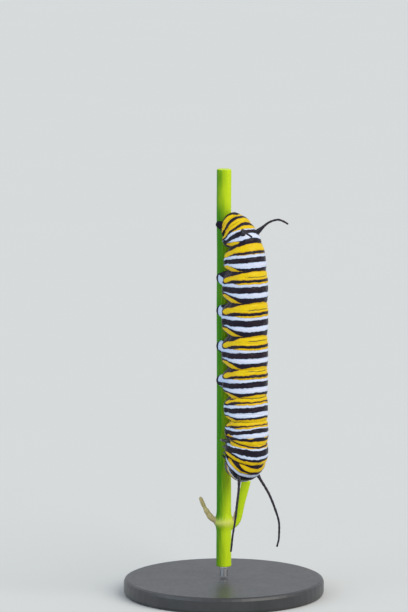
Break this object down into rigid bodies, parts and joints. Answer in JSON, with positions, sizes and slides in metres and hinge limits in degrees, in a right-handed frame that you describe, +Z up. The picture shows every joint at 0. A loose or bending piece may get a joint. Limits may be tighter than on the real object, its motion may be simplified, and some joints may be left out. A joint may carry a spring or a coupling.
{
  "type": "monarch larva",
  "caption": "Life-size banded larva, head down on a cut length of plant stem, with paired filaments at both ends, on a small round display stand.",
  "frame": {"origin": "centre of the stand's underside, on the axis of the stem", "axes": "+Z up along the stem, +X from the stem towards the larva's back, +Y towards the larva's left side; the larva hangs head down"},
  "size_m": [0.03, 0.03, 0.064],
  "materials": {
    "skin_banded": "soft skin with a low sheen, banded yellow, black and white round the body",
    "skin_black": "soft black skin with a low sheen",
    "head_shell": "hard glossy shell, black with yellow stripes",
    "stem_green": "smooth fresh green plant stem",
    "stand_paint": "satin black paint on steel",
    "stand_steel": "fine brushed steel"
  },
  "bodies": {
    "root": {"abdomen_1": "skin_banded", "abdomen_10": "skin_banded", "abdomen_2": "skin_banded", "abdomen_3": "skin_banded", "abdomen_4": "skin_banded", "abdomen_5": "skin_banded", "abdomen_6": "skin_banded", "abdomen_7": "skin_banded", "abdomen_8": "skin_banded", "abdomen_9": "skin_banded", "antenna_left": "head_shell", "antenna_right": "head_shell", "filament_front_left": "skin_black", "filament_front_right": "skin_black", "filament_rear_left": "skin_black", "filament_rear_right": "skin_black", "head": "head_shell", "leg_1_left": "skin_black", "leg_1_right": "skin_black", "leg_2_left": "skin_black", "leg_2_right": "skin_black", "leg_3_left": "skin_black", "leg_3_right": "skin_black", "perch_stem": "stem_green", "proleg_3_left": "skin_banded", "proleg_3_right": "skin_banded", "proleg_4_left": "skin_banded", "proleg_4_right": "skin_banded", "proleg_5_left": "skin_banded", "proleg_5_right": "skin_banded", "proleg_6_left": "skin_banded", "proleg_6_right": "skin_banded", "proleg_tail_left": "skin_black", "proleg_tail_right": "skin_black", "stand_base": "stand_paint", "stand_rod": "stand_steel", "thorax_1": "skin_banded", "thorax_2": "skin_banded", "thorax_3": "skin_banded"}
  },
  "joints": []
}
